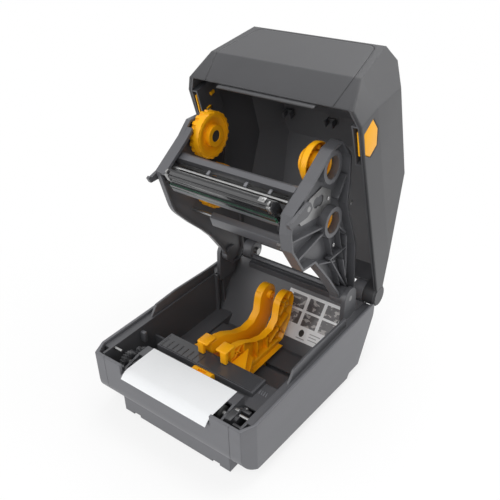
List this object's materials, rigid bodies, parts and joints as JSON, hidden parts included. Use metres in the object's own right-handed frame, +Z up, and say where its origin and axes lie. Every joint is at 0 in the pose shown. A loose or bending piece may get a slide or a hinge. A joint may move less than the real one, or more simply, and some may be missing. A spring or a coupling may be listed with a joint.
{
  "type": "desktop label printer",
  "caption": "Desktop thermal-transfer label printer with its lid open: hinged cover, swinging ribbon carriage with hubs and printhead, platen, roll guides in a media bay.",
  "frame": {"origin": "centre of the overall box's bottom, on the table", "axes": "+X to the printer's right seen from the front, +Y to the rear, +Z up; lid and carriage open"},
  "size_m": [0.197, 0.3178, 0.3451],
  "materials": {
    "housing_grey": "fine grained grey moulding",
    "lid_grey": "fine grained dark grey moulding",
    "inner_black": "satin black moulding",
    "signal_yellow": "smooth yellow-orange moulding",
    "steel": "ground steel",
    "rubber_black": "dull rubber",
    "gear_black": "moulded gear plastic",
    "label_white": "coated paper",
    "board_green": "circuit board",
    "cast_metal": "satin metal",
    "head_dark": "dark glazed printhead",
    "key_grey": "soft key",
    "scale_grey": "printed scale"
  },
  "bodies": {
    "base": {"base_housing": "housing_grey", "front_bezel": "housing_grey", "bottom_plinth": "housing_grey", "rubber_feet": "rubber_black", "media_chassis": "inner_black", "scale_plate": "scale_grey", "tear_bar": "steel", "latch_posts": "steel", "carriage_pivot_pins": "steel", "hinge_pins": "steel", "label_strip": "label_white", "instruction_sticker": "label_white", "platen_bearings": "gear_black", "idler_stud": "steel", "drive_motor": "cast_metal", "main_board": "board_green", "power_inlet": "inner_black", "interface_ports": "inner_black"},
    "platen": {"platen_shaft": "steel", "platen_rubber": "rubber_black", "platen_gear": "gear_black"},
    "idler": {"idler_gear": "gear_black"},
    "motor_rotor": {"motor_pinion": "gear_black"},
    "guide_right": {"roll_guide_right": "signal_yellow"},
    "guide_left": {"roll_guide_left": "signal_yellow"},
    "guide_wheel": {"guide_pinion": "gear_black"},
    "sensor": {"sensor_slider": "signal_yellow"},
    "lid": {"lid_shell": "lid_grey", "lid_front_panel": "lid_grey", "lid_liner": "inner_black", "hinge_caps": "lid_grey", "control_panel": "inner_black"},
    "power_key": {"power_button": "key_grey"},
    "feed_key": {"feed_button": "key_grey"},
    "release_right": {"release_button_right": "signal_yellow"},
    "release_left": {"release_button_left": "signal_yellow"},
    "carriage": {"carriage_plate_left": "inner_black", "carriage_plate_right": "inner_black", "carriage_crossbar": "inner_black", "ribbon_tray": "inner_black", "guide_rods": "steel", "hub_bracket": "steel", "head_pin": "steel"},
    "head": {"printhead_bar": "head_dark", "printhead_board": "board_green"},
    "latch": {"latch_shaft": "steel", "latch_hooks": "inner_black"},
    "takeup_left": {"takeup_hub_left": "signal_yellow", "takeup_hub_screw": "gear_black", "takeup_gear": "gear_black"},
    "takeup_right": {"takeup_hub_right": "signal_yellow"},
    "supply_left": {"supply_hub_left": "signal_yellow", "supply_hub_screw": "gear_black"},
    "supply_right": {"supply_hub_right": "signal_yellow"}
  },
  "joints": [
    {"name": "lid_hinge", "type": "hinge", "parent": "base", "child": "lid", "pos_m": [0, 0.08772, 0.07963], "axis": [1, 0, 0], "range_deg": [0, 73.17]},
    {"name": "carriage_swing", "type": "hinge", "parent": "base", "child": "carriage", "pos_m": [0, 0.04427, 0.09724], "axis": [1, 0, 0], "range_deg": [0, 62.29]},
    {"name": "platen_spin", "type": "hinge", "parent": "base", "child": "platen", "pos_m": [0, -0.13423, 0.0609], "axis": [1, 0, 0], "continuous": true},
    {"name": "idler_spin", "type": "hinge", "parent": "base", "child": "idler", "pos_m": [0, -0.11623, 0.05008], "axis": [1, 0, 0], "continuous": true},
    {"name": "motor_spin", "type": "hinge", "parent": "base", "child": "motor_rotor", "pos_m": [0, -0.10352, 0.03596], "axis": [1, 0, 0], "continuous": true},
    {"name": "guide_right_slide", "type": "slide", "parent": "base", "child": "guide_right", "axis": [1, 0, 0], "range_m": [0, 0.0465]},
    {"name": "guide_left_slide", "type": "slide", "parent": "base", "child": "guide_left", "axis": [-1, 0, 0], "range_m": [0, 0.0467]},
    {"name": "guide_pinion_spin", "type": "hinge", "parent": "base", "child": "guide_wheel", "pos_m": [0, -0.02773, 0.0105], "axis": [0, 0, 1], "range_deg": [-446.04, 0]},
    {"name": "sensor_slide", "type": "slide", "parent": "base", "child": "sensor", "axis": [1, 0, 0], "range_m": [-0.05, 0.042]},
    {"name": "release_right_press", "type": "slide", "parent": "lid", "child": "release_right", "axis": [-1, 0, 0], "range_m": [0, 0.0025], "stiffness_N_per_m": 900},
    {"name": "release_left_press", "type": "slide", "parent": "lid", "child": "release_left", "axis": [1, 0, 0], "range_m": [0, 0.0025], "stiffness_N_per_m": 900},
    {"name": "power_press", "type": "slide", "parent": "lid", "child": "power_key", "axis": [0, -0.9572, -0.2895], "range_m": [0, 0.0008], "stiffness_N_per_m": 1200},
    {"name": "feed_press", "type": "slide", "parent": "lid", "child": "feed_key", "axis": [0, -0.9572, -0.2895], "range_m": [0, 0.0008], "stiffness_N_per_m": 1200},
    {"name": "head_float", "type": "hinge", "parent": "carriage", "child": "head", "pos_m": [0, -0.04863, 0.23028], "axis": [1, 0, 0], "range_deg": [-2, 0], "stiffness_Nm_per_rad": 12},
    {"name": "latch_turn", "type": "hinge", "parent": "carriage", "child": "latch", "pos_m": [0, -0.03758, 0.23836], "axis": [1, 0, 0], "range_deg": [-8, 0], "stiffness_Nm_per_rad": 0.4},
    {"name": "takeup_left_spin", "type": "hinge", "parent": "carriage", "child": "takeup_left", "pos_m": [0, 0.00874, 0.25878], "axis": [1, 0, 0], "continuous": true},
    {"name": "takeup_right_spin", "type": "hinge", "parent": "carriage", "child": "takeup_right", "pos_m": [0, 0.00874, 0.25878], "axis": [1, 0, 0], "continuous": true},
    {"name": "supply_left_spin", "type": "hinge", "parent": "carriage", "child": "supply_left", "pos_m": [0, 0.01421, 0.20008], "axis": [1, 0, 0], "continuous": true},
    {"name": "supply_right_spin", "type": "hinge", "parent": "carriage", "child": "supply_right", "pos_m": [0, 0.01421, 0.20008], "axis": [1, 0, 0], "continuous": true}
  ],
  "couplings": [
    {"joint": "carriage_swing", "follows": "lid_hinge", "ratio": 0.85062},
    {"joint": "idler_spin", "follows": "platen_spin", "ratio": -0.75},
    {"joint": "motor_spin", "follows": "platen_spin", "ratio": 1.2857},
    {"joint": "guide_left_slide", "follows": "guide_right_slide", "ratio": 1},
    {"joint": "guide_pinion_spin", "follows": "guide_right_slide", "rad_per_m": -166.67}
  ]
}
